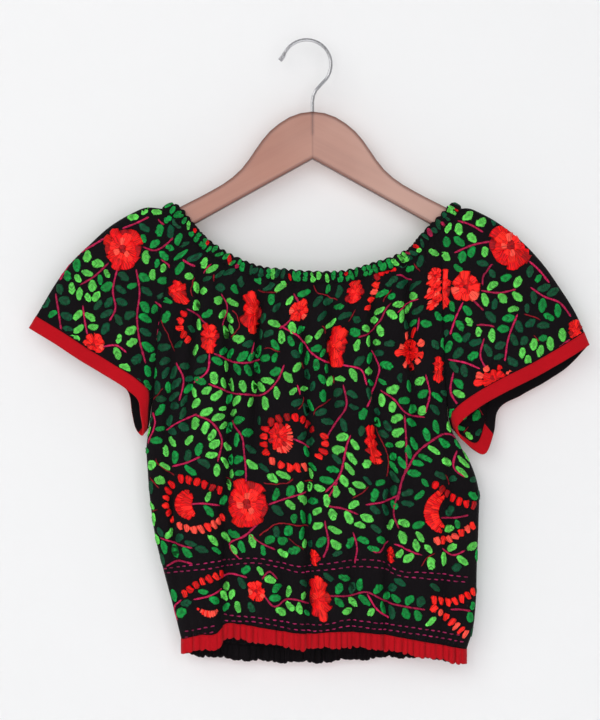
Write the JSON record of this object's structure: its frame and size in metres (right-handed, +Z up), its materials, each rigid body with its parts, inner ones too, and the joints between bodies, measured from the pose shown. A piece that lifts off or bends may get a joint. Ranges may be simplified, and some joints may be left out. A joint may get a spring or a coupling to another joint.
{
  "type": "off-shoulder crop top on a wooden clothes hanger",
  "caption": "Off-shoulder crop top with short raglan sleeves, gathered neck and hem and banded cuffs, hung on a flat wooden hanger by its wire hook.",
  "frame": {"origin": "inner crest of the hook, where it rests on a rail, in the middle of the wire", "axes": "+Z up along the longest extent, -Y towards the front of the garment, +X to the right as seen from the front"},
  "size_m": [0.5608, 0.0403, 0.6268],
  "materials": {
    "black_cloth": "plain weave, matt",
    "red_trim": "plain weave, soft sheen",
    "varnished_wood": "smooth, clear satin varnish",
    "bright_wire": "bright plated wire"
  },
  "bodies": {
    "root": {"body_front": "black_cloth", "body_back": "black_cloth", "sleeve_left": "black_cloth", "sleeve_right": "black_cloth", "neck_casing": "black_cloth", "hem_band_front": "red_trim", "hem_band_back": "red_trim", "cuff_left": "red_trim", "cuff_right": "red_trim", "hanger_board": "varnished_wood", "hanger_hook": "bright_wire"}
  },
  "joints": []
}
